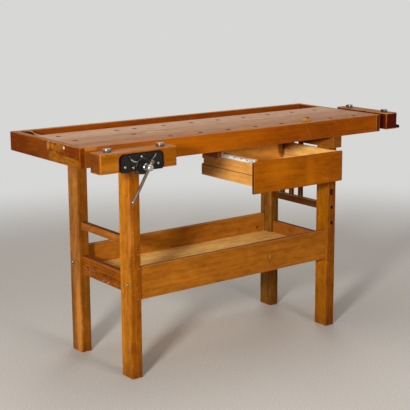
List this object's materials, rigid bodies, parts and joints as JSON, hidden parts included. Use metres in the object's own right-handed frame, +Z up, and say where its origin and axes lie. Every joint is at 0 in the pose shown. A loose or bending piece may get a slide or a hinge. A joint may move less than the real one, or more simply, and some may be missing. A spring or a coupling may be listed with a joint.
{
  "type": "woodworking bench",
  "caption": "Wooden workbench with a dog-hole top and tool tray, a screw vise on its front and on its end, a hung drawer and a low tray shelf",
  "frame": {"origin": "on the floor, under the middle of the box round the whole bench as it stands at rest", "axes": "+X along the bench toward the tail vise, +Y from the front vise to the back rail, +Z up"},
  "size_m": [1.552, 0.688, 0.864],
  "materials": {
    "honey_wood": "satin varnish",
    "worn_wood": "worn varnish",
    "pale_wood": "clear varnish",
    "dark_wood": "dark varnish",
    "plywood": "thin varnish",
    "black_iron": "black paint",
    "bright_steel": "bright",
    "white_runner": "white"
  },
  "bodies": {
    "bench": {"end_board_left": "dark_wood", "end_board_right": "honey_wood", "dog_strip": "honey_wood", "worktop_board_front": "worn_wood", "worktop_board_back": "worn_wood", "back_rail": "honey_wood", "tray_floor": "plywood", "tray_end_block": "honey_wood", "bearer_left": "honey_wood", "bearer_right": "honey_wood", "leg_front_left": "honey_wood", "leg_front_right": "honey_wood", "leg_back_left": "honey_wood", "leg_back_right": "honey_wood", "upper_stretcher_left": "honey_wood", "upper_stretcher_right": "honey_wood", "lower_stretcher_left": "honey_wood", "lower_stretcher_right": "honey_wood", "rack_slat_1": "dark_wood", "rack_slat_2": "dark_wood", "rack_slat_3": "dark_wood", "shelf_rail_front": "honey_wood", "shelf_rail_back": "honey_wood", "shelf_floor": "plywood", "shelf_cleat_front": "honey_wood", "shelf_cleat_back": "honey_wood", "fixed_runner_left": "white_runner", "fixed_runner_right": "white_runner", "drawer_hanger": "dark_wood", "front_nut_plate": "black_iron", "tail_nut_plate": "black_iron"},
    "front_jaw_body": {"front_jaw": "honey_wood", "front_plate": "black_iron", "front_rod_left": "bright_steel", "front_rod_right": "bright_steel"},
    "front_screw_body": {"front_screw": "bright_steel"},
    "front_bar_body": {"front_bar": "bright_steel", "front_bar_knob": "bright_steel"},
    "tail_jaw_body": {"tail_jaw": "honey_wood", "tail_plate": "black_iron", "tail_rod_left": "bright_steel", "tail_rod_right": "bright_steel"},
    "tail_screw_body": {"tail_screw": "bright_steel"},
    "tail_bar_body": {"tail_bar": "bright_steel", "tail_bar_knob": "bright_steel"},
    "drawer_body": {"drawer_front": "honey_wood", "drawer_side_left": "pale_wood", "drawer_side_right": "pale_wood", "drawer_back": "pale_wood", "drawer_floor": "plywood", "drawer_runner_left": "white_runner", "drawer_runner_right": "white_runner"},
    "front_dog_left_body": {"front_dog_left": "bright_steel"},
    "front_dog_right_body": {"front_dog_right": "bright_steel"},
    "tail_dog_left_body": {"tail_dog_left": "bright_steel"},
    "tail_dog_right_body": {"tail_dog_right": "bright_steel"},
    "bench_stop_body": {"bench_stop": "pale_wood"}
  },
  "joints": [
    {"name": "front_jaw_slide", "type": "slide", "parent": "bench", "child": "front_jaw_body", "axis": [0, -1, 0], "range_m": [-0.0845, 0.116]},
    {"name": "front_screw_turn", "type": "hinge", "parent": "front_jaw_body", "child": "front_screw_body", "pos_m": [-0.62, -0.293, 0.798], "axis": [0, -1, 0], "range_deg": [-5060, 6950]},
    {"name": "front_bar_slide", "type": "slide", "parent": "front_screw_body", "child": "front_bar_body", "axis": [0.515, 0, 0.8572], "range_m": [0, 0.1015]},
    {"name": "tail_jaw_slide", "type": "slide", "parent": "bench", "child": "tail_jaw_body", "axis": [1, 0, 0], "range_m": [-0.0385, 0.111]},
    {"name": "tail_screw_turn", "type": "hinge", "parent": "tail_jaw_body", "child": "tail_screw_body", "pos_m": [0.725, 0.014, 0.798], "axis": [1, 0, 0], "range_deg": [-2300, 6650]},
    {"name": "tail_bar_slide", "type": "slide", "parent": "tail_screw_body", "child": "tail_bar_body", "axis": [0, 0.9954, 0.0958], "range_m": [0, 0.1015]},
    {"name": "drawer_slide", "type": "slide", "parent": "bench", "child": "drawer_body", "axis": [0, -1, 0], "range_m": [-0.107, 0.085]},
    {"name": "bench_stop_slide", "type": "slide", "parent": "bench", "child": "bench_stop_body", "axis": [0, 0, 1], "range_m": [0, 0.03]},
    {"name": "front_dog_left_slide", "type": "slide", "parent": "front_jaw_body", "child": "front_dog_left_body", "axis": [0, 0, 1], "range_m": [0, 0.03]},
    {"name": "front_dog_right_slide", "type": "slide", "parent": "front_jaw_body", "child": "front_dog_right_body", "axis": [0, 0, 1], "range_m": [0, 0.03]},
    {"name": "tail_dog_left_slide", "type": "slide", "parent": "tail_jaw_body", "child": "tail_dog_left_body", "axis": [0, 0, 1], "range_m": [0, 0.03]},
    {"name": "tail_dog_right_slide", "type": "slide", "parent": "tail_jaw_body", "child": "tail_dog_right_body", "axis": [0, 0, 1], "range_m": [0, 0.03]}
  ],
  "couplings": [
    {"joint": "front_jaw_slide", "follows": "front_screw_turn", "m_per_rad": 0.00095493},
    {"joint": "tail_jaw_slide", "follows": "tail_screw_turn", "m_per_rad": 0.00095493}
  ]
}
